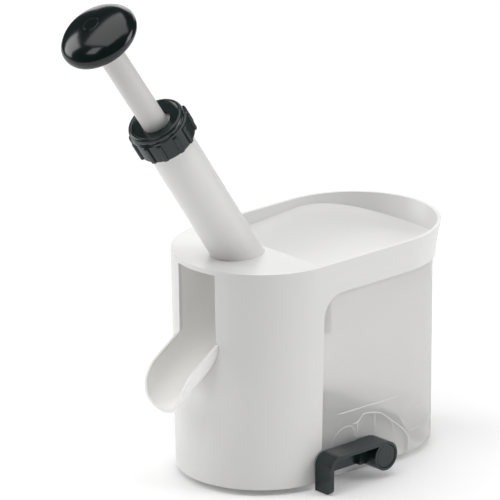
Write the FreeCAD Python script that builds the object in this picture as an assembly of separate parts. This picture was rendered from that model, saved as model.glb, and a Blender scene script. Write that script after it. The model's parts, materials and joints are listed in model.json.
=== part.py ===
import FreeCAD, Part
import math
import os

from FreeCAD import Vector as V

os.makedirs("parts", exist_ok=True)

# ---------------------------------------------------------------- driving sizes (mm)
FOOT = 3.5            # height of the rubber feet, so the casing clears the table
H = 120.0             # height of the casing
TOP = FOOT + H        # rim and top deck level
R_TOP = 47.0          # half width of the casing at the rim
R_BOT = 44.6          # half width of the casing at its lower edge (moulding draft)
CX = 64.0             # centre of the round end of the hopper
A_SEAM = 45.3         # end radius of the hopper skirt where it meets the container
A_RIM = 50.5          # end radius of the hopper at its flared rim
Z_SEAM = FOOT + 103.0 # lower edge of the hopper skirt
WALL = 2.0            # casing wall
DECK = 2.5            # top deck thickness
X_EDGE = 1.0          # where the deck ends and the hopper opens
X_SPLIT = 3.0         # where the casing wall ends and the container begins
CORNER = 13.0         # rounded inner corner of the casing opening

R_CON = 44.4          # container outer radius
CON_L = 3.5           # left face of the container
CON_TOP = Z_SEAM - 0.3
FLOOR = FOOT + 11.5   # container floor, upper face
FLOOR_T = 2.0

TILT = 33.8           # plunger lean from vertical
X_AXIS = -16.05       # where the plunger axis crosses the deck level
TUBE_R, TUBE_I = 12.7, 10.4
TUBE_TOP = 96.0
ROD_R = 6.7
TILT_P = 34.7         # the plunger leans a little more than its tube, within the play of the head
STROKE = 45.0
COLLAR_BOT, COLLAR_TOP = 86.2, 102.4
KNOB_L, KNOB_R = 166.9, 20.8

CH_X, CH_Z = -43.8, FOOT + 79.4   # a point on the axis of the trough
CH_I, CH_O = 14.1, 15.7           # trough inside and outside radius

LEV_X, LEV_Z = 37.0, FOOT + 9.1   # lever pivot
HUB_R = 8.0
LEV_Y0, LEV_Y1 = -46.0, -58.2     # rear and front plane of the lever arm
ECC = 1.6                         # throw of the cam

SHIFT = V(6.645, 5.6, 0)      # the origin is the middle of the footprint, on the table
# ---------------------------------------------------------------- helpers
s, c = math.sin(math.radians(TILT)), math.cos(math.radians(TILT))
P0 = V(X_AXIS, 0, TOP)
UP = V(-s, 0, c)          # along the plunger, upwards
DN = V(s, 0, -c)
ALONG = V(c, 0, s)        # up the trough, square to the plunger


def ap(l):
    """point on the plunger axis, l above deck level"""
    return P0 + UP * l


def acyl(r, l0, l1):
    return Part.makeCylinder(r, l1 - l0, ap(l0), UP)


sp, cp_ = math.sin(math.radians(TILT_P)), math.cos(math.radians(TILT_P))
UPP = V(-sp, 0, cp_)
PIV = ap(45.0)            # the two axes meet here


def pp(l):
    """point on the plunger's own axis"""
    return PIV + UPP * (l - 45.0)


def pcyl(r, l0, l1):
    return Part.makeCylinder(r, l1 - l0, pp(l0), UPP)


def pring(ro, ri, l0, l1):
    return pcyl(ro, l0, l1).cut(pcyl(ri, l0 - 1, l1 + 1))


def ring(ro, ri, l0, l1):
    return acyl(ro, l0, l1).cut(acyl(ri, l0 - 1, l1 + 1))


def box(x0, x1, y0, y1, z0, z1):
    return Part.makeBox(x1 - x0, y1 - y0, z1 - z0, V(x0, y0, z0))


def zcyl(r, x, y, z0, z1):
    return Part.makeCylinder(r, z1 - z0, V(x, y, z0), V(0, 0, 1))


def ycyl(r, x, z, y0, y1):
    return Part.makeCylinder(r, y1 - y0, V(x, y0, z), V(0, 1, 0))


def outline(r, a, z, x_left=None):
    """plan outline: half circle on the left, half ellipse on the right"""
    p = [V(0, r, z), V(-r, 0, z), V(0, -r, z), V(CX, -r, z), V(CX, r, z)]
    e1 = Part.Arc(p[0], p[1], p[2]).toShape()
    e2 = Part.makeLine(p[2], p[3])
    if abs(a - r) < 1e-6:
        e3 = Part.Arc(p[3], V(CX + a, 0, z), p[4]).toShape()
    else:
        if a > r:
            el = Part.Ellipse(V(CX + a, 0, z), V(CX, r, z), V(CX, 0, z))
            e3 = Part.ArcOfEllipse(el, -math.pi / 2, math.pi / 2).toShape()
        else:
            el = Part.Ellipse(V(CX, -r, z), V(CX + a, 0, z), V(CX, 0, z))
            e3 = Part.ArcOfEllipse(el, 0, math.pi).toShape()
    e4 = Part.makeLine(p[4], p[0])
    return Part.Wire([e1, e2, e3, e4])


def hull_solid(off, z0=None, z1=None):
    """casing body: drafted stadium with a flared hopper end, offset inwards by off"""
    z0 = FOOT if z0 is None else z0
    z1 = TOP if z1 is None else z1

    def sec(z):
        r = R_BOT + (R_TOP - R_BOT) * (z - FOOT) / H
        if z <= Z_SEAM:
            a = 44.7 + (A_SEAM - 44.7) * (z - FOOT) / (Z_SEAM - FOOT)
        else:
            u = (z - Z_SEAM) / (TOP - Z_SEAM)
            a = A_SEAM + (A_RIM - A_SEAM) * u ** 1.6
        return outline(r - off, a - off, z)

    low = Part.makeLoft([sec(FOOT - 20), sec(Z_SEAM)], True, True)
    zs = [Z_SEAM, Z_SEAM + 4.0, Z_SEAM + 8.5, Z_SEAM + 13.0, TOP, TOP + 6]
    high = Part.makeLoft([sec(z) for z in zs], True, False)
    body = low.fuse(high)
    return body.common(box(-100, 200, -100, 100, z0, z1))


def xz_prism(pts, y0, y1):
    """prism along Y of a closed outline of straight and arc runs; an item of two points is an arc (through, to)"""
    edges = []
    cur = V(pts[0][0], y0, pts[0][1])
    first = cur
    for q in pts[1:]:
        if isinstance(q[0], tuple):
            m = V(q[0][0], y0, q[0][1])
            e = V(q[1][0], y0, q[1][1])
            edges.append(Part.Arc(cur, m, e).toShape())
        else:
            e = V(q[0], y0, q[1])
            edges.append(Part.makeLine(cur, e))
        cur = e
    if (cur - first).Length > 1e-6:
        edges.append(Part.makeLine(cur, first))
    f = Part.Face(Part.Wire(edges))
    return f.extrude(V(0, y1 - y0, 0))


def one(shape):
    shape = shape.removeSplitter()
    return shape


nodes = {}


def put(name, *shapes):
    out = []
    for sh in shapes:
        sh = one(sh)
        for so in sh.Solids:
            if so.Volume > 0.05:
                out.append(so)
    body = out[0] if len(out) == 1 else Part.makeCompound(out)
    body.translate(SHIFT)
    nodes[name] = body


# ---------------------------------------------------------------- trough frame
CP = V(CH_X, 0, CH_Z)
trough_out = Part.makeCylinder(CH_O, 260, CP - ALONG * 130, ALONG)
trough_in = Part.makeCylinder(CH_I, 260, CP - ALONG * 130, ALONG)
trough_gap = Part.makeCylinder(CH_O + 0.1, 260, CP - ALONG * 130, ALONG)
# half space under the plane through the trough axis
below = Part.makeBox(400, 400, 200, V(-200, -200, -200))
below.rotate(V(0, 0, 0), V(0, 1, 0), -TILT)
below.translate(CP)
above = Part.makeBox(400, 400, 200, V(-200, -200, 0))
above.rotate(V(0, 0, 0), V(0, 1, 0), -TILT)
above.translate(CP)

# sloping, dished hopper floor: a sheet between two long cylinders
FL_S = math.radians(4.2)
FL_R = 110.0
FL_D = V(math.cos(FL_S), 0, math.sin(FL_S))
FL_P = V(14, 0, Z_SEAM - 1.3) + V(-math.sin(FL_S), 0, math.cos(FL_S)) * FL_R
sheet_in = Part.makeCylinder(FL_R, 400, FL_P - FL_D * 200, FL_D)
sheet_out = Part.makeCylinder(FL_R + 2.2, 400, FL_P - FL_D * 200, FL_D)

# ---------------------------------------------------------------- casing
outer = hull_solid(0.0)
inner = hull_solid(WALL, FOOT - 5, TOP + 1)
deck_cut = box(-100, X_EDGE, -100, 100, TOP - DECK, TOP + 5)
shell = outer.cut(inner.cut(deck_cut))
opening = xz_prism(
    [
        (X_SPLIT, -20),
        (X_SPLIT, Z_SEAM - CORNER),
        ((X_SPLIT + CORNER * (1 - math.cos(math.pi / 4)), Z_SEAM - CORNER * (1 - math.sin(math.pi / 4))), (X_SPLIT + CORNER, Z_SEAM)),
        (250, Z_SEAM),
        (250, -20),
    ],
    -100,
    100,
)
shell = shell.cut(opening)
# outlet: upright slot above the trough, round below
slot = box(-80, -20, -CH_I, CH_I, CH_Z - 40, TOP - DECK).common(above)
shell = shell.cut(slot).cut(trough_gap.common(below).common(box(-80, -20, -50, 50, 0, TOP)))
# hole for the guide tube
shell = shell.cut(acyl(TUBE_R + 0.05, -20, 30))
# inner stiffening ribs of the left half
pads = []
for y in (-20, 20):
    rib = xz_prism([(-42, FOOT + 0.8), (-19.5, FOOT + 0.8), (-19.5, FOOT + 12), (-34, FOOT + 60), (-42, FOOT + 60)], y - 0.8, y + 0.8)
    shell = shell.fuse(rib.common(hull_solid(WALL - 0.4, FOOT, TOP)))
    pad = box(-26.5, -18.5, y - 3.0, y + 3.0, 0, FOOT + 6).cut(box(-42, -19.5, y - 0.8, y + 0.8, FOOT + 0.8, FOOT + 60))
    pads.append(pad)
put("housing_shell", shell)
put("casing_feet", *pads)

# ---------------------------------------------------------------- hopper floor with its gate wall
inside = hull_solid(WALL + 0.08, FOOT, TOP - DECK - 0.06)
sheet = sheet_out.cut(sheet_in).common(inside).common(box(-1.0, 200, -60, 60, Z_SEAM - 12, TOP))
gate = box(-1.0, 1.0, -60, 60, Z_SEAM - 12, TOP - DECK - 0.06).common(inside).common(sheet_out)
tray = sheet.fuse(gate).cut(trough_gap.common(box(-60, 15.5, -50, 50, 0, TOP)))
tray = tray.cut(box(-2, 2.5, -CH_O - 0.1, CH_O + 0.1, CH_Z, TOP + 1).common(above))
put("hopper_floor", tray)

# ---------------------------------------------------------------- trough and outlet
tip = xz_prism(
    [
        (-59.5, CH_Z + 40),
        (-59.5, CH_Z + (-59.5 - CH_X) * math.tan(math.radians(TILT)) + 0.3),
        ((-65.4, 66.4), (-68.7, 57.0)),
        ((-68.9, 52.3), (-67.8, 47.0)),
        (-66.0, 20),
        (60, 20),
        (60, CH_Z + 60),
    ],
    -40,
    40,
)
chute = trough_out.cut(trough_in).common(below).common(tip).common(box(-100, 15.3, -50, 50, 0, TOP - DECK - 0.1))
chute = chute.cut(sheet_in.common(box(1.1, 100, -100, 100, 0, 300)))
flange_room = acyl(16.1, -60, 20).common(box(-60, X_EDGE - 2.1, -40, 40, TOP - DECK - 2.25, TOP))
for y in (-CH_O, CH_I):
    side = box(-60, X_EDGE - 0.1, y, y + CH_O - CH_I, CH_Z, TOP - DECK - 0.1).common(above)
    chute = chute.fuse(side.common(hull_solid(WALL + 0.05, FOOT, TOP)).cut(flange_room))
chute = chute.cut(acyl(12.6, -60, -18))
put("exit_chute", chute)

# ---------------------------------------------------------------- seat, seal and stone duct
seat = ring(10.9, 6.4, -37.0, -29.0)
seat = seat.cut(Part.makeSphere(13.2, ap(-21.5)))
put("cherry_seat", seat)
seal = ring(10.9, 4.6, -39.1, -37.1)
for k in range(4):
    cutb = Part.makeBox(4.2, 0.7, 10, V(3.9, -0.35, -5))
    cutb.rotate(V(0, 0, 0), V(0, 0, 1), 45 + 90 * k)
    cutb.rotate(V(0, 0, 0), V(0, 1, 0), -TILT)
    cutb.translate(ap(-38))
    seal = seal.cut(cutb)
put("seat_seal", seal)
duct = ring(12.5, 11.0, -39.2, -26.5).fuse(ring(12.5, 8.0, -41.2, -39.2)).fuse(ring(9.6, 8.0, -57.0, -41.0))
duct = duct.cut(trough_in.common(box(-60, 60, -60, 60, 60, 200))).cut(box(-40, 60, -40, 40, 40, 78.0))
put("stone_duct", duct)

# ---------------------------------------------------------------- guide tube and what it holds
tube = ring(TUBE_R, TUBE_I, -9.0, TUBE_TOP)
tube = tube.fuse(ring(TUBE_I + 0.2, 7.6, -9.0, -7.0))                  # inner ledge at the mouth
for l in (87.5, 90.0, 92.5):                                          # screw ridges
    tube = tube.fuse(ring(13.25, TUBE_R - 0.2, l, l + 1.0))
tube = tube.cut(box(-60, 60, -60, 60, TOP - 60, TOP - DECK - 9.5))
flange = ring(16.0, TUBE_I + 0.5, -60, 20).common(box(-60, X_EDGE - 2.2, -40, 40, TOP - DECK - 2.1, TOP - DECK - 0.06))
tube = tube.fuse(flange)
put("guide_tube", tube)
strip = ring(10.3, 4.0, -6.9, -4.4)
strip = strip.fuse(ring(7.5, 4.0, -8.9, -6.9))
put("stripper", strip)
put("lower_spring_seat", ring(10.3, 7.2, -4.3, -2.8))
put("guide_bush", acyl(10.3, 84.4, 96.1).fuse(acyl(12.2, 96.05, 97.2)).cut(pcyl(ROD_R + 0.08, 80, 100)))

# return spring: round wire on a straight coil
SP0, SP1, SP_R, SP_W, SP_N = -2.6, 82.0, 8.8, 0.6, 14
wire_h = SP1 - SP0 - 2 * SP_W - 0.2
helix = Part.makeHelix(wire_h / SP_N, wire_h, SP_R)
prof = Part.Wire(Part.makeCircle(SP_W, V(SP_R, 0, 0), V(0, 1, 0)))
spring = Part.Wire(helix.Edges).makePipeShell([prof], True, True)
spring.rotate(V(0, 0, 0), V(0, 1, 0), -TILT_P)
spring.translate(pp(SP0 + SP_W + 0.1))
nodes["return_spring"] = spring.Solids[0]
nodes["return_spring"].translate(SHIFT)

# ---------------------------------------------------------------- plunger
rod = pcyl(ROD_R, 54.0, KNOB_L - 0.2).cut(pcyl(4.1, 50, 66.0)).cut(pcyl(1.6, 60, 200))
rod = rod.cut(pring(9, 5.9, 82.2, 84.1))
put("plunger_rod", rod)
put("stop_ring", pring(9.3, 5.95, 82.25, 84.05))
# knob: shallow dome on a rounded rim, hollow socket for the rod
KT, KB = 8.2, -4.7        # top and lower edge of the knob, from its widest plane
kp = [
    V(0, 0, KT),
    V(7.0, 0, KT - 0.45),
    V(13.0, 0, KT - 1.8),
    V(17.5, 0, KT - 4.05),
    V(19.85, 0, KT - 6.5),
    V(KNOB_R, 0, -0.8),
]
dome = Part.BSplineCurve()
dome.interpolate(kp, InitialTangent=V(1, 0, 0), FinalTangent=V(0.02, 0, -1))
rim = Part.BSplineCurve()
rim.interpolate([V(KNOB_R, 0, -0.8), V(KNOB_R - 0.35, 0, -2.9), V(KNOB_R - 1.2, 0, -4.2), V(KNOB_R - 2.6, 0, KB)], InitialTangent=V(-0.02, 0, -1), FinalTangent=V(-1, 0, -0.05))
ke = [dome.toShape(), rim.toShape(), Part.makeLine(V(KNOB_R - 2.6, 0, KB), V(0, 0, KB)), Part.makeLine(V(0, 0, KB), V(0, 0, KT))]
kf = Part.Face(Part.Wire(ke))
knob = kf.revolve(V(0, 0, 0), V(0, 0, 1), 360)
und = Part.makeCylinder(KNOB_R - 3.4, 4.6, V(0, 0, KB - 0.5)).cut(Part.makeCylinder(9.4, 5, V(0, 0, KB - 0.6)))
knob = knob.cut(und).cut(Part.makeCylinder(ROD_R + 0.05, 7, V(0, 0, -7)))
knob = knob.cut(Part.makeCylinder(1.9, 20, V(0, 0, -2))).cut(Part.makeCylinder(4.4, 8, V(0, 0, 4.0)))


def seat_on_axis(sh, l):
    sh = sh.copy()
    sh.rotate(V(0, 0, 0), V(0, 1, 0), -TILT)
    sh.translate(ap(l))
    return sh


def seat_on_plunger(sh, l):
    sh = sh.copy()
    sh.rotate(V(0, 0, 0), V(0, 1, 0), -TILT_P)
    sh.translate(pp(l))
    return sh


put("knob", seat_on_plunger(knob, KNOB_L))
cap = kf.revolve(V(0, 0, 0), V(0, 0, 1), 360).common(Part.makeCylinder(4.25, 3, V(0, 0, 6.4)))
put("knob_cap", seat_on_plunger(cap, KNOB_L))
kscrew = Part.makeCylinder(3.4, 2.1, V(0, 0, 4.1)).fuse(Part.makeCylinder(1.55, 20, V(0, 0, -15.8)))
kscrew = kscrew.cut(box(-3, 3, -0.5, 0.5, 5.2, 8))
put("knob_screw", seat_on_plunger(kscrew, KNOB_L))
carrier = pcyl(4.05, 53.0, 65.5).fuse(pcyl(6.6, 45.5, 53.9)).cut(pcyl(2.25, 40, 58.0)).cut(Part.makeCylinder(1.05, 40, pp(50.0) + V(0, -20, 0), V(0, 1, 0)))
put("pin_carrier", carrier)
pin = pcyl(2.2, -2.0, 57.8)
for k in range(4):                      # four flutes leave a cross shaped point
    g = Part.makeCylinder(1.0, 30, V(1.95, 0, 0), V(0, 0, 1))
    g.rotate(V(0, 0, 0), V(0, 0, 1), 45 + 90 * k)
    pin = pin.cut(seat_on_plunger(g, -3.0))
pin = pin.cut(Part.makeCylinder(1.05, 40, pp(50.0) + V(0, -20, 0), V(0, 1, 0)))
put("pitting_pin", pin)
put("pin_dowel", Part.makeCylinder(1.0, 12.6, pp(50.0) + V(0, -6.3, 0), V(0, 1, 0)))

# ---------------------------------------------------------------- screw collar
cb, ct = 0.0, COLLAR_TOP - COLLAR_BOT
prof_pts = [
    V(13.6, 0, 0.0),
    V(14.6, 0, 0.0),
    V(15.9, 0, 1.4),
    V(15.9, 0, ct - 4.5),
    V(15.0, 0, ct - 4.0),
    V(15.35, 0, ct - 2.4),
    V(15.0, 0, ct - 0.65),
    V(13.95, 0, ct),
    V(12.95, 0, ct - 0.3),
    V(12.45, 0, ct - 1.1),
    V(8.2, 0, ct - 1.3),
    V(8.2, 0, ct - 3.8),
    V(13.6, 0, ct - 3.8),
]
e = [Part.makeLine(prof_pts[0], prof_pts[1])]
e.append(Part.Arc(prof_pts[1], V(15.55, 0, 0.45), prof_pts[2]).toShape())
for i in (2, 3, 4):
    e.append(Part.makeLine(prof_pts[i], prof_pts[i + 1]))
e.append(Part.Arc(prof_pts[5], prof_pts[6], prof_pts[7]).toShape())
e.append(Part.Arc(prof_pts[7], prof_pts[8], prof_pts[9]).toShape())
for i in (9, 10, 11):
    e.append(Part.makeLine(prof_pts[i], prof_pts[i + 1]))
e.append(Part.makeLine(prof_pts[12], prof_pts[0]))
col = Part.Face(Part.Wire(e)).revolve(V(0, 0, 0), V(0, 0, 1), 360)
for k in range(6):
    for d in (-13, 13):
        a = math.radians(30 + 60 * k + d)
        rb = Part.makeBox(1.8, 2.4, ct - 5.7, V(15.2, -1.2, 0.8))
        rb = rb.makeFillet(0.55, [ed for ed in rb.Edges if abs(ed.Vertexes[0].X - 17.0) < 1e-6 and abs(ed.Vertexes[1].X - 17.0) < 1e-6])
        rb.rotate(V(0, 0, 0), V(0, 0, 1), math.degrees(a))
        col = col.fuse(rb)
put("screw_collar", seat_on_axis(col, COLLAR_BOT))
put("collar_washer", ring(13.3, 8.6, ct + COLLAR_BOT - 4.8, ct + COLLAR_BOT - 3.85))

# ---------------------------------------------------------------- stone container (stays on the table)


def stad(r, z0, z1, xl):
    b = box(xl, CX, -r, r, z0, z1).fuse(zcyl(r, CX, 0, z0, z1))
    return b


con = stad(R_CON, FOOT, CON_TOP, CON_L)
con_in = stad(R_CON - 2.0, FLOOR, CON_TOP + 10, CON_L + 2.0)
con_un = stad(R_CON - 2.0, 0, FLOOR - FLOOR_T, CON_L + 2.0)
g = 0.4
keep = xz_prism(
    [
        (X_SPLIT + 0.5, -20),
        (X_SPLIT + 0.5, Z_SEAM - CORNER),
        ((X_SPLIT + g + CORNER * (1 - math.cos(math.pi / 4)), Z_SEAM - 0.3 - CORNER * (1 - math.sin(math.pi / 4))), (X_SPLIT + CORNER, CON_TOP)),
        (250, CON_TOP),
        (250, -20),
    ],
    -100,
    100,
)
con = con.common(keep).cut(con_in).cut(con_un)
# lower left wall, so the trough and the duct pass over it
con = con.cut(box(0, 14.0, -41.0, 41.0, 99.0, 120)).cut(box(0, 8.0, -17.5, 17.5, 72.0, 120))
lip = stad(R_CON - 1.5, CON_TOP - 3.0, CON_TOP + 2.0, CON_L + 12).cut(stad(R_CON - 3.1, 0, 200, CON_L - 5))
lip = lip.cut(box(-50, 17.5, -100, 100, 0, 200))
con = con.fuse(lip)
VX, VA, VB = 40.0, 27.0, 18.0        # vault over the suction works: centre, half width, height over floor
for fx, fy in ((8.8, -33.0), (8.8, 33.0), (92.0, -24.0), (92.0, 24.0)):
    con = con.fuse(zcyl(5.0, fx, fy, FOOT, FLOOR - 1.0)).cut(zcyl(2.1, fx, fy, 0, FLOOR - 4.0))


def vault(a, b, y0, z0):
    """long round-topped roof along Y with a round rear end, half width a, height b over z0"""
    r = (a * a + b * b) / (2 * b)
    zc = z0 + b - r
    body = Part.makeCylinder(r, -y0, V(VX, y0, zc), V(0, 1, 0)).fuse(Part.makeSphere(r, V(VX, 0, zc)))
    return body.common(box(VX - 60, VX + 60, y0, 60, z0, z0 + 60)).removeSplitter()


floor_hole = box(VX - VA + 1.9, VX + VA - 1.9, -R_CON + 2.0, 0, 0, FLOOR + 1).fuse(zcyl(VA - 1.9, VX, 0, 0, FLOOR + 1))
con = con.cut(floor_hole)
# wall of the suction chamber below the floor
skirt = box(VX - VA, VX + VA, -R_CON + 1.0, 0, FOOT + 0.2, FLOOR - 0.5).fuse(zcyl(VA, VX, 0, FOOT + 0.2, FLOOR - 0.5))
skirt = skirt.cut(box(VX - VA + 1.9, VX + VA - 1.9, -R_CON, 0, 0, 40)).cut(zcyl(VA - 1.9, VX, 0, 0, 40))
con = con.fuse(skirt)
con = con.cut(ycyl(6.1, LEV_X, LEV_Z, -60, -35))
put("stone_container", con)

vo = vault(VA, VB, -R_CON + 2.05, FLOOR + 0.05)
vi = vault(VA - 1.8, VB - 1.8, -R_CON - 5, FLOOR + 0.05)
vlt = vo.cut(vi)
vlt = vlt.cut(ycyl(6.2, LEV_X, LEV_Z, -60, -35))
put("suction_vault", vlt)
put("shaft_bush", ycyl(6.0, LEV_X, LEV_Z, -44.4, -38.0).fuse(ycyl(7.4, LEV_X, LEV_Z, -45.0, -44.45)).cut(ycyl(4.06, LEV_X, LEV_Z, -60, -30)))
feet = []
for fx, fy in ((8.8, -33.0), (8.8, 33.0), (92.0, -24.0), (92.0, 24.0)):
    feet.append(zcyl(4.8, fx, fy, 0, FOOT - 0.02).fuse(zcyl(2.05, fx, fy, FOOT - 0.1, FLOOR - 5.0)))
put("rubber_feet", *feet)

# bracket that carries the inner end of the shaft
brk = box(31, 43, -8, -5.2, 6.3, 25.0).fuse(box(31, 43, 5.2, 8, 6.3, 25.0)).fuse(box(31, 43, -8, 8, 24.6, 26.2))
for y in (-5.2, 5.2):
    brk = brk.fuse(zcyl(2.4, LEV_X, y, 25.0, 34.0).common(vault(VA - 1.85, VB - 1.85, -60, FLOOR + 0.05)))
brk = brk.cut(ycyl(4.06, LEV_X, LEV_Z, -30, 30))
put("shaft_bracket", brk)

# suction cup: thin lip, domed centre
cp = [V(0, 0, 2.0), V(12, 0, 2.0), V(27, 0, 0.0), V(30.5, 0, 0.0), V(30.5, 0, 1.3), V(14, 0, 4.3), V(0, 0, 4.3), V(0, 0, 2.0)]
ce = [Part.makeLine(cp[0], cp[1]), Part.Arc(cp[1], V(20, 0, 1.35), cp[2]).toShape(), Part.makeLine(cp[2], cp[3]), Part.makeLine(cp[3], cp[4]), Part.Arc(cp[4], V(22.5, 0, 3.35), cp[5]).toShape(), Part.makeLine(cp[5], cp[6]), Part.makeLine(cp[6], cp[7])]
cup = Part.Face(Part.Wire(ce)).revolve(V(0, 0, 0), V(0, 0, 1), 360)
cup.translate(V(LEV_X, 0, 0))
put("suction_cup", cup)

# yoke on the cup: the cam turns in its slot
CZ = LEV_Z + ECC
yoke = box(LEV_X - 11.7, LEV_X + 11.7, -3.4, 3.4, 5.6, CZ + 9.5).cut(box(LEV_X - 9.7, LEV_X + 9.7, -5, 5, CZ - 7.5, CZ + 7.5))
yoke = yoke.fuse(zcyl(9.0, LEV_X, 0, 4.35, 5.7))
put("cup_yoke", yoke)

# ---------------------------------------------------------------- lever
cam = ycyl(6.8, LEV_X, CZ, -3.9, 3.9).cut(ycyl(4.0, LEV_X, LEV_Z, -10, 10))
put("lift_cam", cam)
shaft = ycyl(3.98, LEV_X, LEV_Z, -55.0, 9.0).cut(ycyl(1.6, LEV_X, LEV_Z, -56, -42))
put("lever_shaft", shaft)
ZT = FOOT + 17.4
XL = -2.8
arm = xz_prism([(XL, 0.35), (XL, ZT - 7.0), ((XL + 7.0 - 7.0 * math.cos(math.pi / 4), ZT - 7.0 + 7.0 * math.sin(math.pi / 4)), (XL + 7.0, ZT)), (LEV_X, ZT), (LEV_X, ZT - 1.9), (XL + 6.9, ZT - 1.9), ((XL + 2.3 + 4.6 - 4.6 * math.cos(math.pi / 4), ZT - 6.5 + 4.6 * math.sin(math.pi / 4)), (XL + 2.3, ZT - 6.5)), (XL + 2.3, 0.35)], LEV_Y1, LEV_Y0)
corner = box(XL - 1, XL + 4, LEV_Y1 - 1, LEV_Y1 + 3.5, 0, 3.85).cut(Part.makeCylinder(3.5, 8, V(XL - 2, LEV_Y1 + 3.5, 3.85), V(1, 0, 0)))
arm = arm.cut(corner)
web = box(XL + 1.2, 27.0, LEV_Y0 - 1.9, LEV_Y0, FOOT + 4.9, ZT - 1.0)
web = web.cut(box(XL - 1, XL + 6.9, LEV_Y0 - 3, LEV_Y0 + 1, ZT - 6.5, ZT + 5).cut(Part.makeCylinder(6.8, 20, V(XL + 7.0, LEV_Y0 - 10, ZT - 7.0), V(0, 1, 0))))
arm = arm.fuse(web)
arm = arm.fuse(box(25.0, 30.5, LEV_Y0 - 4.6, LEV_Y0, FOOT + 4.9, ZT - 1.0))
arm = arm.fuse(box(27.0, LEV_X, LEV_Y0 - 1, LEV_Y0 + 0.7, ZT - 1.9, ZT))
hub = ycyl(HUB_R, LEV_X, LEV_Z, LEV_Y1, LEV_Y0 + 0.7)
# the hub's round top runs level into the arm
arm = arm.cut(box(LEV_X - 0.01, LEV_X + 30, -70, -30, 0, 60)).fuse(hub)
arm = arm.cut(ycyl(4.0, LEV_X, LEV_Z, -55.0, -40)).cut(ycyl(6.6, LEV_X, LEV_Z, LEV_Y1 - 1, LEV_Y1 + 2.2)).cut(ycyl(1.9, LEV_X, LEV_Z, -60, -54)).cut(ycyl(3.6, LEV_X, LEV_Z, -60, LEV_Y1 + 2.7))
put("lever_arm", arm)
lcap = ycyl(6.45, LEV_X, LEV_Z, LEV_Y1 + 0.1, LEV_Y1 + 2.1)
lcap = lcap.makeFillet(0.5, [ed for ed in lcap.Edges if ed.Closed and abs(ed.CenterOfMass.y - (LEV_Y1 + 0.1)) < 1e-6])
put("lever_cap", lcap)
scr = ycyl(3.4, LEV_X, LEV_Z, LEV_Y1 + 2.2, LEV_Y1 + 2.68).fuse(ycyl(1.55, LEV_X, LEV_Z, LEV_Y1 + 2.4, -44.0))
put("lever_screw", scr)

# ---------------------------------------------------------------- locating tabs of the casing, inside the container wall
tabs = []
for sy in (-1, 1):
    y0, y1 = sorted((sy * 41.9, sy * 40.3))
    arm_t = box(6.5, 11.5, y0, y1, 83.5, Z_SEAM + 7.5)
    y2, y3 = sorted((sy * 41.9, sy * 38.9))
    arm_t = arm_t.fuse(box(6.5, 11.5, y2, y3, 83.5, 90.5))
    arm_t = arm_t.cut(sheet_in).cut(sheet_out)
    tabs.append(arm_t)
put("locating_tabs", *tabs)

# ---------------------------------------------------------------- write
bb = None
for n, sh in nodes.items():
    sh.exportStep("parts/%s.step" % n)
    b = sh.BoundBox
    bb = b if bb is None else bb.united(b)
    print("%-20s solids %d  valid %s  vol %9.1f  box %s" % (n, len(sh.Solids), sh.isValid(), sh.Volume, [round(v, 2) for v in (b.XMin, b.YMin, b.ZMin, b.XMax, b.YMax, b.ZMax)]))
print("all", [round(v, 3) for v in (bb.XMin, bb.YMin, bb.ZMin, bb.XMax, bb.YMax, bb.ZMax)], "centre", round((bb.XMin + bb.XMax) / 2, 4), round((bb.YMin + bb.YMax) / 2, 4))
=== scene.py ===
import json
import math

import bmesh
import bpy
import numpy as np
from mathutils import Matrix, Vector

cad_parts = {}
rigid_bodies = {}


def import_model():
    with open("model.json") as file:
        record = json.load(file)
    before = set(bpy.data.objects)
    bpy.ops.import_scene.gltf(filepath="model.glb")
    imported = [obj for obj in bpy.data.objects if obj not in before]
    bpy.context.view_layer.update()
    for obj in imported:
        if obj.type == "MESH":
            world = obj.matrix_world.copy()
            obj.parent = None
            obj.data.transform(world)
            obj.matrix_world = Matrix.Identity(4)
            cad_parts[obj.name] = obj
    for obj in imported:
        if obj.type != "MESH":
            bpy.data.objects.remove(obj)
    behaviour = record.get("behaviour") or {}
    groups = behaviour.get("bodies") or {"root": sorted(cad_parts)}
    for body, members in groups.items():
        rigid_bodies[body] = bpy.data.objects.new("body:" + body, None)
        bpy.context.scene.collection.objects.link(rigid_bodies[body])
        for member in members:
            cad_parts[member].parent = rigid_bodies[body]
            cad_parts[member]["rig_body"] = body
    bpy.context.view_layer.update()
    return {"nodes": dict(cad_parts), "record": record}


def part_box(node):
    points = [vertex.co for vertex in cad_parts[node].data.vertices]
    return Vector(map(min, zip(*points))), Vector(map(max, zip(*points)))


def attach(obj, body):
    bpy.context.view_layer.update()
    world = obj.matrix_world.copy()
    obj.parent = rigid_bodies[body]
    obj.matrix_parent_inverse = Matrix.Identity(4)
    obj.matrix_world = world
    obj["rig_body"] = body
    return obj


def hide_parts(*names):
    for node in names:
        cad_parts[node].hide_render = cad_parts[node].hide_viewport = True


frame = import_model()
N = frame["nodes"]

# ------------------------------------------------------------------ frame numbers, millimetres to metres
MM = 0.001
SHIFT = Vector((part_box("stone_container")[1][0] / MM - 108.4, 5.6, 0.0))
FOOT, H = 3.5, 120.0
TOP = FOOT + H
TILT = math.radians(33.8)
S, C = math.sin(TILT), math.cos(TILT)
X_AXIS = -16.05
LEV_X, LEV_Z = 37.0, FOOT + 9.1


def P(x, y, z):
    """a point in casing millimetres as a row frame point in metres"""
    return (Vector((x, y, z)) + SHIFT) * MM


AX0 = P(X_AXIS, 0, TOP)
UP = Vector((-S, 0, C))
AXIS_ROT = Matrix(((C, 0, -S), (0, 1, 0), (S, 0, C)))       # local z runs up the plunger


def on_axis(v):
    """local millimetres (x up the trough, y, z along the plunger from deck level) to the row frame"""
    return AX0 + AXIS_ROT @ (Vector(v) * MM)


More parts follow.
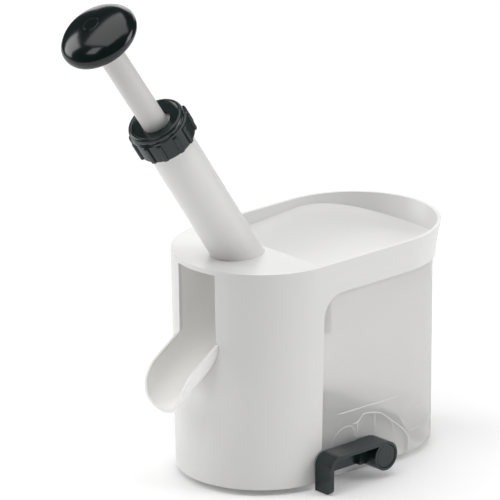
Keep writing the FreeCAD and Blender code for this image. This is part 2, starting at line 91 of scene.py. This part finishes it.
# ------------------------------------------------------------------ materials
def new_mat(name):
    m = bpy.data.materials.new(name)
    m.use_nodes = True
    nt = m.node_tree
    nt.nodes.clear()
    out = nt.nodes.new("ShaderNodeOutputMaterial")
    b = nt.nodes.new("ShaderNodeBsdfPrincipled")
    nt.links.new(b.outputs["BSDF"], out.inputs["Surface"])
    return m, nt, b


def node(nt, kind, **kw):
    n = nt.nodes.new(kind)
    for k, v in kw.items():
        if k.startswith("i_"):
            n.inputs[k[2:].replace("_", " ")].default_value = v
        else:
            setattr(n, k, v)
    return n


def ramp(nt, src, c0, c1, p0=0.35, p1=0.65):
    r = nt.nodes.new("ShaderNodeValToRGB")
    r.color_ramp.elements[0].position = p0
    r.color_ramp.elements[1].position = p1
    r.color_ramp.elements[0].color = c0
    r.color_ramp.elements[1].color = c1
    nt.links.new(src, r.inputs["Fac"])
    return r


def moulded(name, dark, light, rough=(0.28, 0.32), bump=0.02, grain=900.0, coat=0.0, ior=1.49, wave=6.0, spec=0.5):
    """moulded plastic: slow tone drift, fine skin texture, drifting gloss"""
    m, nt, b = new_mat(name)
    tc = node(nt, "ShaderNodeTexCoord")
    slow = node(nt, "ShaderNodeTexNoise", i_Scale=wave, i_Detail=1.0, i_Roughness=0.4)
    nt.links.new(tc.outputs["Object"], slow.inputs["Vector"])
    col = ramp(nt, slow.outputs["Fac"], (*dark, 1), (*light, 1), 0.2, 0.8)
    nt.links.new(col.outputs["Color"], b.inputs["Base Color"])
    fine = node(nt, "ShaderNodeTexNoise", i_Scale=grain, i_Detail=2.0, i_Roughness=0.55)
    nt.links.new(tc.outputs["Object"], fine.inputs["Vector"])
    mid = node(nt, "ShaderNodeTexNoise", i_Scale=16.0, i_Detail=2.0, i_Roughness=0.4)
    nt.links.new(tc.outputs["Object"], mid.inputs["Vector"])
    rr = node(nt, "ShaderNodeMapRange")
    rr.inputs["From Min"].default_value = 0.2
    rr.inputs["From Max"].default_value = 0.8
    rr.inputs["To Min"].default_value = rough[0]
    rr.inputs["To Max"].default_value = rough[1]
    nt.links.new(mid.outputs["Fac"], rr.inputs["Value"])
    nt.links.new(rr.outputs["Result"], b.inputs["Roughness"])
    bp = node(nt, "ShaderNodeBump", i_Strength=bump, i_Distance=0.0004)
    nt.links.new(fine.outputs["Fac"], bp.inputs["Height"])
    nt.links.new(bp.outputs["Normal"], b.inputs["Normal"])
    b.inputs["IOR"].default_value = ior
    b.inputs["Specular IOR Level"].default_value = spec
    b.inputs["Coat Weight"].default_value = coat
    b.inputs["Coat Roughness"].default_value = 0.12
    return m, nt, b


M_WHITE, _, b = moulded("casing_white", (0.745, 0.742, 0.734), (0.760, 0.757, 0.749), rough=(0.34, 0.38), bump=0.01)
M_ROD, _, b = moulded("rod_white", (0.665, 0.657, 0.643), (0.685, 0.677, 0.663), rough=(0.34, 0.38), bump=0.01)
# the chute's white is lighter than the casing's white: painted light, a lit copy of the casing plastic that
# brightens the trough and channel
M_CHUTE_PAINTED_LIGHT, _, b = moulded("chute_white_painted_light", (0.870, 0.864, 0.842), (0.885, 0.879, 0.858), rough=(0.34, 0.38), bump=0.01)
M_INNER, _, b = moulded("inner_plastic", (0.66, 0.66, 0.64), (0.69, 0.69, 0.67), rough=(0.45, 0.52), bump=0.03)
M_GLOSS, _, b = moulded("black_gloss", (0.0038, 0.0080, 0.0080), (0.0048, 0.0098, 0.0098), rough=(0.13, 0.18), bump=0.010, grain=700.0, spec=0.5)
M_SATIN, _, b = moulded("black_satin", (0.0070, 0.0155, 0.0155), (0.0090, 0.0195, 0.0195), rough=(0.20, 0.25), bump=0.04, grain=1500.0, spec=0.5)
M_RUBBER, _, b = moulded("rubber_dark", (0.011, 0.011, 0.011), (0.017, 0.017, 0.017), rough=(0.6, 0.75), bump=0.12, grain=1200.0)


def steel(name, scale, axis_dir, rough=(0.29, 0.36)):
    """drawn steel: fine lines along the piece"""
    m, nt, b = new_mat(name)
    tc = node(nt, "ShaderNodeTexCoord")
    mp = node(nt, "ShaderNodeMapping")
    mp.inputs["Scale"].default_value = scale
    mp.inputs["Rotation"].default_value = axis_dir
    nt.links.new(tc.outputs["Object"], mp.inputs["Vector"])
    ln = node(nt, "ShaderNodeTexNoise", i_Scale=1.0, i_Detail=4.0, i_Roughness=0.6)
    nt.links.new(mp.outputs["Vector"], ln.inputs["Vector"])
    col = ramp(nt, ln.outputs["Fac"], (0.46, 0.46, 0.47, 1), (0.62, 0.62, 0.62, 1))
    nt.links.new(col.outputs["Color"], b.inputs["Base Color"])
    rr = node(nt, "ShaderNodeMapRange")
    rr.inputs["To Min"].default_value = rough[0]
    rr.inputs["To Max"].default_value = rough[1]
    nt.links.new(ln.outputs["Fac"], rr.inputs["Value"])
    nt.links.new(rr.outputs["Result"], b.inputs["Roughness"])
    bp = node(nt, "ShaderNodeBump", i_Strength=0.08, i_Distance=0.0002)
    nt.links.new(ln.outputs["Fac"], bp.inputs["Height"])
    nt.links.new(bp.outputs["Normal"], b.inputs["Normal"])
    b.inputs["Metallic"].default_value = 1.0
    return m


M_STEEL = steel("stainless", (2500, 2500, 120), (0, TILT, 0))
M_SPRING = steel("spring_steel", (900, 900, 900), (0, 0, 0), (0.29, 0.38))


def frosted(name, dark, light, rough, trans, ior=1.35, bump=0.05):
    m, nt, b = moulded(name, dark, light, rough=rough, bump=bump, grain=1600.0, wave=14.0, ior=ior)
    b.inputs["Transmission Weight"].default_value = trans
    return m


M_CLEAR = frosted("frosted_clear", (0.935, 0.930, 0.922), (0.945, 0.940, 0.932), (0.29, 0.33), 0.68, ior=1.22, bump=0.02)
M_LINE = frosted("frosted_ridge", (0.93, 0.93, 0.92), (0.95, 0.95, 0.94), (0.29, 0.32), 0.15, ior=1.45, bump=0.01)
M_VAULT = frosted("vault_clear", (0.20, 0.23, 0.24), (0.24, 0.27, 0.28), (0.30, 0.34), 0.10, bump=0.02)

MAT_OF = {
    "casing_white": M_WHITE,
    "rod_white": M_ROD,
    "inner_plastic": M_INNER,
    "black_gloss": M_GLOSS,
    "black_satin": M_SATIN,
    "rubber_dark": M_RUBBER,
    "stainless": M_STEEL,
    "spring_steel": M_SPRING,
    "frosted_clear": M_CLEAR,
}
SLOT = {sp["node"]: sp["material_slot"] for sp in frame["record"]["subparts"]}


def paint(obj, mat):
    obj.data.materials.clear()
    obj.data.materials.append(mat)


for n, o in N.items():
    paint(o, MAT_OF[SLOT[n]])
paint(N["suction_vault"], M_VAULT)


# ------------------------------------------------------------------ mesh helpers
def add_mesh(name, verts, faces, mat, smooth=True, angle=35.0):
    me = bpy.data.meshes.new(name)
    me.from_pydata([tuple(v) for v in verts], [], faces)
    me.update()
    ob = bpy.data.objects.new(name, me)
    bpy.context.scene.collection.objects.link(ob)
    me.materials.append(mat)
    bm = bmesh.new()
    bm.from_mesh(me)
    bmesh.ops.recalc_face_normals(bm, faces=bm.faces)
    bm.to_mesh(me)
    bm.free()
    if smooth:
        me.polygons.foreach_set("use_smooth", [True] * len(me.polygons))
        me.set_sharp_from_angle(angle=math.radians(angle))
    return ob


def body_of_node(n):
    return N[n]["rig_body"]


def refined(node_name, width, mat, angle=32.0, segments=3, dissolve=0.4, name=None, profile=0.5):
    """the node's own surface with its edges rounded off, as a moulding has them"""
    src = N[node_name]
    me = bpy.data.meshes.new(name or node_name + "_skin")
    bm = bmesh.new()
    bm.from_mesh(src.data)
    bmesh.ops.remove_doubles(bm, verts=bm.verts, dist=2e-6)
    bmesh.ops.dissolve_degenerate(bm, dist=1e-6, edges=bm.edges)
    bmesh.ops.dissolve_limit(bm, angle_limit=math.radians(dissolve), verts=bm.verts, edges=bm.edges)
    bm.normal_update()
    lim = math.radians(angle)
    edges = [e for e in bm.edges if len(e.link_faces) == 2 and e.calc_face_angle(0) > lim]
    if width > 0:
        bmesh.ops.bevel(bm, geom=edges, offset=width * MM, offset_type="OFFSET", segments=segments, profile=profile, affect="EDGES", clamp_overlap=True, miter_outer="ARC", harden_normals=False)
    bmesh.ops.triangulate(bm, faces=[f for f in bm.faces if len(f.verts) > 4])
    bmesh.ops.recalc_face_normals(bm, faces=bm.faces)
    bm.to_mesh(me)
    bm.free()
    ob = bpy.data.objects.new(me.name, me)
    bpy.context.scene.collection.objects.link(ob)
    me.materials.append(mat)
    me.polygons.foreach_set("use_smooth", [True] * len(me.polygons))
    me.set_sharp_from_angle(angle=math.radians(28))
    wn = ob.modifiers.new("weights", "WEIGHTED_NORMAL")
    wn.keep_sharp = True
    wn.weight = 80
    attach(ob, body_of_node(node_name))
    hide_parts(node_name)
    return ob


def lathe(profile, steps=144, closed=True):
    """rings of (radius, z) turned about local z; returns verts and faces in local millimetres"""
    vs, fs = [], []
    n = len(profile)
    for i in range(steps):
        a = 2 * math.pi * i / steps
        for r, z in profile:
            vs.append((r * math.cos(a), r * math.sin(a), z))
    for i in range(steps):
        j = (i + 1) % steps
        for k in range(n if closed else n - 1):
            k2 = (k + 1) % n
            fs.append((i * n + k, j * n + k, j * n + k2, i * n + k2))
    return vs, fs


# ------------------------------------------------------------------ moulded parts with rounded edges
SKINS = {}
for nm, w, mt in (
    ("housing_shell", 0.45, M_WHITE),
    # exit_chute takes the lighter white, painted light brightening the trough
    ("exit_chute", 0.35, M_CHUTE_PAINTED_LIGHT),
    ("hopper_floor", 0.3, M_WHITE),
    ("guide_tube", 0.3, M_WHITE),
    ("stone_container", 0.4, M_CLEAR),
    ("lever_arm", 0.7, M_SATIN),
    ("lever_cap", 0.25, M_SATIN),
    ("screw_collar", 0.35, M_SATIN),
    ("plunger_rod", 0.15, M_ROD),
    ("knob", 0.12, M_GLOSS),
    ("knob_cap", 0.12, M_GLOSS),
):
    SKINS[nm] = refined(nm, w, mt)


# ------------------------------------------------------------------ fluted vault over the suction works
VX, VA, VB, FLOOR_Z = 40.0, 27.0, 18.0, FOOT + 11.55
V_R = (VA * VA + VB * VB) / (2 * VB)
V_ZC = FLOOR_Z + VB - V_R
V_FRONT = -42.3


def flute(x, deep):
    """how far the crease between two lobes lies under their crowns"""
    return deep * (1.0 - abs(math.sin(math.pi * (x - (VX - VA)) / 13.5)) ** 0.7)


def vault_sheet(r0, deep, na, ny, nb):
    rows = []
    half = math.acos((FLOOR_Z - V_ZC) / (r0 - deep))
    for i in range(na + 1):
        a = -half + 2 * half * i / na
        r = r0 - flute(VX + r0 * math.sin(a), deep)
        x, h = VX + r * math.sin(a), r * math.cos(a)
        bmax = math.acos(max(-1.0, min(1.0, (FLOOR_Z - V_ZC) / max(h, FLOOR_Z - V_ZC))))
        row = [(x, V_FRONT * (1 - j / ny), V_ZC + h) for j in range(ny)]
        row += [(x, h * math.sin(bmax * k / nb), V_ZC + h * math.cos(bmax * k / nb)) for k in range(nb + 1)]
        rows.append(row)
    return rows


def vault_skin():
    na, ny, nb = 108, 10, 28
    outer, inner = vault_sheet(V_R, 1.5, na, ny, nb), vault_sheet(V_R - 1.5, 1.5, na, ny, nb)
    m = ny + nb + 1
    vs = [P(*q) for row in outer for q in row] + [P(*q) for row in inner for q in row]
    k = (na + 1) * m
    fs = []
    for i in range(na):
        for j in range(m - 1):
            o = i * m + j
            fs.append((o, o + 1, o + m + 1, o + m))
            fs.append((k + o, k + o + m, k + o + m + 1, k + o + 1))
        for j in (0, m - 1):
            o = i * m + j
            fs.append((o, o + m, k + o + m, k + o))
    for i in (0, na):
        for j in range(m - 1):
            o = i * m + j
            fs.append((o, k + o, k + o + 1, o + 1))
    ob = add_mesh("vault_skin", vs, fs, M_VAULT, angle=50)
    bm = bmesh.new()
    bm.from_mesh(ob.data)
    bmesh.ops.remove_doubles(bm, verts=bm.verts, dist=1e-6)
    bmesh.ops.recalc_face_normals(bm, faces=bm.faces)
    bm.to_mesh(ob.data)
    bm.free()
    ob.data.polygons.foreach_set("use_smooth", [True] * len(ob.data.polygons))
    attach(ob, body_of_node("suction_vault"))
    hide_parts("suction_vault")
    return ob


vault_skin()

# ------------------------------------------------------------------ fine raised lines on the container, whiter and less clear than its wall
R_WALL, CXE = 44.4, 64.0


def on_wall(s, z, r):
    """a place on the container's wall: s runs along the long side and on round the end"""
    if s <= CXE:
        return P(s, -r, z)
    a = (s - CXE) / R_WALL
    return P(CXE + r * math.sin(a), -r * math.cos(a), z)


def smooth_path(pts, step=0.8):
    """a flowing line through the given places (Catmull-Rom)"""
    q = [Vector(p) for p in pts]
    q = [q[0] * 2 - q[1]] + q + [q[-1] * 2 - q[-2]]
    out = []
    for i in range(1, len(q) - 2):
        n = max(2, int((q[i + 1] - q[i]).length / step))
        for k in range(n):
            t = k / n
            p0, p1, p2, p3 = q[i - 1], q[i], q[i + 1], q[i + 2]
            out.append(0.5 * ((2 * p1) + (p2 - p0) * t + (2 * p0 - 5 * p1 + 4 * p2 - p3) * t * t + (3 * p1 - p0 - 3 * p2 + p3) * t ** 3))
    out.append(q[-2])
    return out


def ridge(name, pts, width=0.5, proud=0.12, smooth=True):
    """a fine raised bead on the wall, sunk a little into it, its ends run out"""
    line = smooth_path(pts) if smooth else [Vector(p) for p in pts]
    prof = [(-0.5, -0.25), (-0.42, 0.35), (-0.18, 0.9), (0.0, 1.0), (0.18, 0.9), (0.42, 0.35), (0.5, -0.25)]
    vs, fs, m = [], [], len(prof)
    for i, p in enumerate(line):
        t = (line[min(i + 1, len(line) - 1)] - line[max(i - 1, 0)]).normalized()
        nrm = Vector((-t.y, t.x))
        fade = min(1.0, (i + 0.3) / 2.5, (len(line) - 1 - i + 0.3) / 2.5)
        for u, h in prof:
            q = p + nrm * (u * width)
            vs.append(on_wall(q.x, q.y, R_WALL + (h * proud * fade if h > 0 else h * 0.4)))
    for i in range(len(line) - 1):
        for j in range(m):
            j2 = (j + 1) % m
            fs.append((i * m + j, i * m + j2, (i + 1) * m + j2, (i + 1) * m + j))
    fs.append(tuple(range(m)))
    fs.append(tuple((len(line) - 1) * m + j for j in reversed(range(m))))
    ob = add_mesh(name, vs, fs, M_LINE, angle=60)
    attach(ob, body_of_node("stone_container"))
    return ob


ridge("line_top", [(15.6, 37.6), (30, 37.4), (45, 37.1), (59.8, 36.9)], 0.55, 0.14)
ridge("line_end", [(71.0, 26.7), (77.0, 26.8), (84.0, 26.8)], 0.5, 0.12)
ridge("line_floor", [(66.6, 15.2), (74, 15.2), (84, 15.2), (96, 15.2), (110, 15.2)], 0.5, 0.12)
ridge("line_arch_a", [(10.4, 19.5), (11.0, 23.0), (13.0, 26.0), (17.0, 28.6), (20.8, 29.3), (24.2, 28.8), (26.8, 26.4), (27.4, 22.0)], 0.5, 0.12)
ridge("line_arch_b", [(25.6, 29.6), (28.6, 29.8), (30.4, 30.9), (32.9, 33.2), (37.0, 33.1), (41.6, 32.2), (46.0, 30.8), (49.2, 28.3), (53.4, 24.9), (57.3, 22.0), (60.8, 19.0), (64.3, 15.4), (66.3, 11.6), (66.6, 7.6)], 0.55, 0.13)
ridge("line_rib_a", [(29.2, 29.6), (29.0, 26.0), (28.7, 21.5)], 0.6, 0.13)
ridge("line_rib_b", [(41.4, 31.6), (41.5, 26.0), (41.8, 19.5)], 0.6, 0.13)
ridge("line_rib_c", [(54.0, 23.8), (54.8, 21.0), (55.6, 18.4)], 0.6, 0.13)

# ------------------------------------------------------------------ stage, light, camera
floor_me = bpy.data.meshes.new("floor")
floor_me.from_pydata([(1.3 * math.cos(math.radians(5 * k)), 1.3 * math.sin(math.radians(5 * k)), 0) for k in range(72)], [], [tuple(range(72))])
floor = bpy.data.objects.new("floor", floor_me)
bpy.context.scene.collection.objects.link(floor)
fm, nt, b = new_mat("floor_pale")
b.inputs["Base Color"].default_value = (0.93, 0.93, 0.93, 1)
b.inputs["Roughness"].default_value = 0.9
b.inputs["Specular IOR Level"].default_value = 0.1
b.inputs["Emission Color"].default_value = (1, 1, 1, 1)
b.inputs["Emission Strength"].default_value = 0.14
floor_me.materials.append(fm)

world = bpy.data.worlds.new("studio")
bpy.context.scene.world = world
world.use_nodes = True
wt = world.node_tree
wt.nodes.clear()
wo = wt.nodes.new("ShaderNodeOutputWorld")
bg = wt.nodes.new("ShaderNodeBackground")
bg.inputs["Color"].default_value = (1, 1, 1, 1)
bg.inputs["Strength"].default_value = 0.06
seen = wt.nodes.new("ShaderNodeBackground")
seen.inputs["Color"].default_value = (1, 1, 1, 1)
seen.inputs["Strength"].default_value = 0.98
lp = wt.nodes.new("ShaderNodeLightPath")
mx = wt.nodes.new("ShaderNodeMixShader")
wt.links.new(lp.outputs["Is Camera Ray"], mx.inputs["Fac"])
wt.links.new(bg.outputs["Background"], mx.inputs[1])
wt.links.new(seen.outputs["Background"], mx.inputs[2])
wt.links.new(mx.outputs["Shader"], wo.inputs["Surface"])


def softbox(name, loc, target, size_x, size_y, power, color=(1, 1, 1)):
    d = bpy.data.lights.new(name, "AREA")
    d.shape = "RECTANGLE"
    d.size, d.size_y = size_x, size_y
    d.energy = power
    d.color = color
    o = bpy.data.objects.new(name, d)
    o.location = loc
    o.rotation_mode = "QUATERNION"
    o.rotation_quaternion = (Vector(target) - Vector(loc)).to_track_quat("-Z", "Y")
    bpy.context.scene.collection.objects.link(o)
    return o


AZ, EL, DIST = math.radians(-42.199), math.radians(19.024), 3.00095
BACK = Vector((math.sin(AZ) * math.cos(EL), -math.cos(AZ) * math.cos(EL), math.sin(EL)))
RIGHT = Vector((math.cos(AZ), math.sin(AZ), 0))
MID = Vector((0, 0, 0.12))


def studio(right, toward, up):
    """a place by the camera's own sides: metres to the right, towards the camera, up"""
    flat = Vector((BACK.x, BACK.y, 0)).normalized()
    return MID + RIGHT * right + flat * toward + Vector((0, 0, up))


softbox("top_box", studio(-0.2, 0.15, 1.55), MID, 1.9, 1.9, 21.5)
softbox("left_box", studio(-1.5, -0.5, 0.5), MID, 0.8, 1.2, 10.5)
softbox("right_box", studio(1.58, 0.22, 0.55), MID, 0.9, 1.3, 14.5)
softbox("fill_box", studio(-1.15, 1.0, 1.0), MID, 0.7, 0.7, 4.0)
softbox("back_box", studio(0.2, -1.7, 0.6), MID, 1.8, 0.9, 10)

cam_d = bpy.data.cameras.new("camera")
cam = bpy.data.objects.new("camera", cam_d)
bpy.context.scene.collection.objects.link(cam)
cam_d.sensor_width = 36.0
cam_d.lens = 5741.075 / 500 * 36.0
cam_d.clip_start, cam_d.clip_end = 0.05, 50
cam.location = P(-7.163, 0, 119.275 + FOOT) + BACK * DIST
cam.rotation_mode = "QUATERNION"
cam.rotation_quaternion = (-BACK).to_track_quat("-Z", "Y")
bpy.context.scene.camera = cam
bpy.context.scene.view_settings.view_transform = "Standard"
